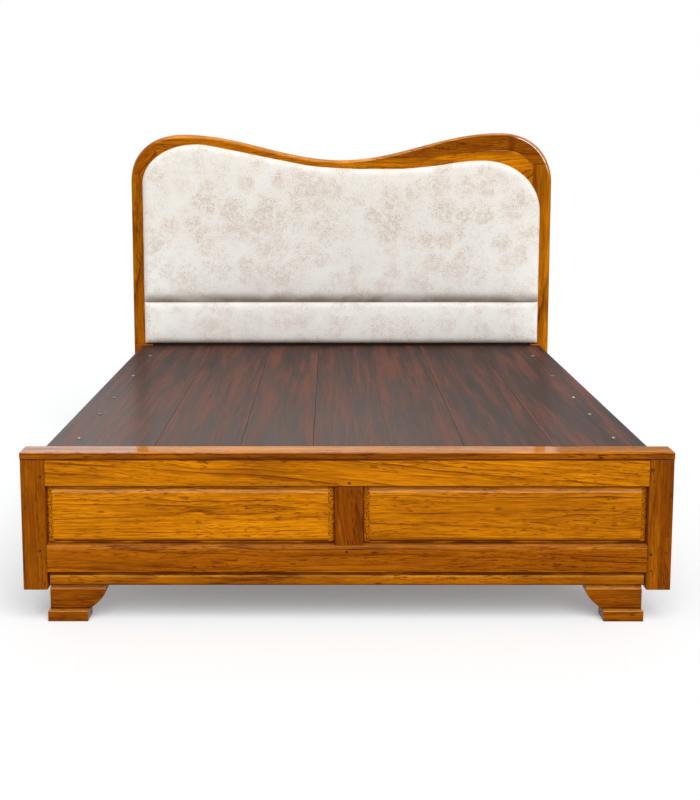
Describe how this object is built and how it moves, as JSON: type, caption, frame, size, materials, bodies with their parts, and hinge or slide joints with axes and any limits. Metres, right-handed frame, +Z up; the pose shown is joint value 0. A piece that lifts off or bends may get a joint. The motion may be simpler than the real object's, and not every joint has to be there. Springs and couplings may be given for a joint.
{
  "type": "king size bed",
  "caption": "Timber bed with a boarded deck, a panelled footboard on bracket feet and a wave-topped headboard with upholstered pads.",
  "frame": {"origin": "middle of the bed's footprint on the floor, at the height of the floor", "axes": "+X to the right seen from the foot end, +Y from the footboard to the headboard, +Z up"},
  "size_m": [1.917, 2.13, 1.4679],
  "materials": {
    "varnished_teak": "gloss varnish over golden teak",
    "dark_teak": "gloss varnish over dark teak",
    "pin_wood": "dark end grain",
    "frame_timber": "plain sawn",
    "stained_deck": "dark stain, worn",
    "plywood": "plain",
    "printed_fabric": "off-white woven cover with a fine beige mottle",
    "screw_steel": "yellow passivated"
  },
  "bodies": {
    "root": {"footboard_post_left": "varnished_teak", "footboard_post_right": "varnished_teak", "footboard_top_rail": "varnished_teak", "footboard_bottom_rail": "varnished_teak", "footboard_muntin": "dark_teak", "footboard_panel_left": "varnished_teak", "footboard_panel_right": "varnished_teak", "footboard_cap": "varnished_teak", "footboard_base_moulding": "varnished_teak", "front_foot_left": "varnished_teak", "front_foot_right": "varnished_teak", "front_foot_pad_left": "varnished_teak", "front_foot_pad_right": "varnished_teak", "joint_pin_left_top": "pin_wood", "joint_pin_left_bottom": "pin_wood", "joint_pin_right_top": "pin_wood", "joint_pin_right_top_small": "pin_wood", "joint_pin_right_bottom": "pin_wood", "joint_pin_right_bottom_small": "pin_wood", "joint_pin_muntin_top": "pin_wood", "joint_pin_muntin_bottom": "pin_wood", "headboard_post_left": "varnished_teak", "headboard_post_right": "varnished_teak", "headboard_elbow_left": "varnished_teak", "headboard_top_rail": "varnished_teak", "headboard_inner_rail": "varnished_teak", "headboard_corner_block": "varnished_teak", "headboard_middle_rail": "frame_timber", "headboard_bottom_rail": "frame_timber", "headboard_back_panel": "plywood", "upper_cushion": "printed_fabric", "lower_cushion": "printed_fabric", "rail_block_left": "varnished_teak", "rail_block_right": "varnished_teak", "side_rail_left": "frame_timber", "side_rail_right": "frame_timber", "cross_bearer_1": "frame_timber", "cross_bearer_2": "frame_timber", "cross_bearer_3": "frame_timber", "cross_bearer_4": "frame_timber", "cross_bearer_5": "frame_timber", "centre_beam": "frame_timber", "centre_leg": "frame_timber", "deck_board_1": "stained_deck", "deck_board_2": "stained_deck", "deck_board_3": "stained_deck", "deck_board_4": "stained_deck", "deck_board_5": "stained_deck", "deck_board_6": "stained_deck", "deck_screw_left_1": "screw_steel", "deck_screw_left_2": "screw_steel", "deck_screw_left_3": "screw_steel", "deck_screw_left_4": "screw_steel", "deck_screw_left_5": "screw_steel", "deck_screw_right_1": "screw_steel", "deck_screw_right_2": "screw_steel", "deck_screw_right_3": "screw_steel", "deck_screw_right_4": "screw_steel", "deck_screw_right_5": "screw_steel"}
  },
  "joints": []
}
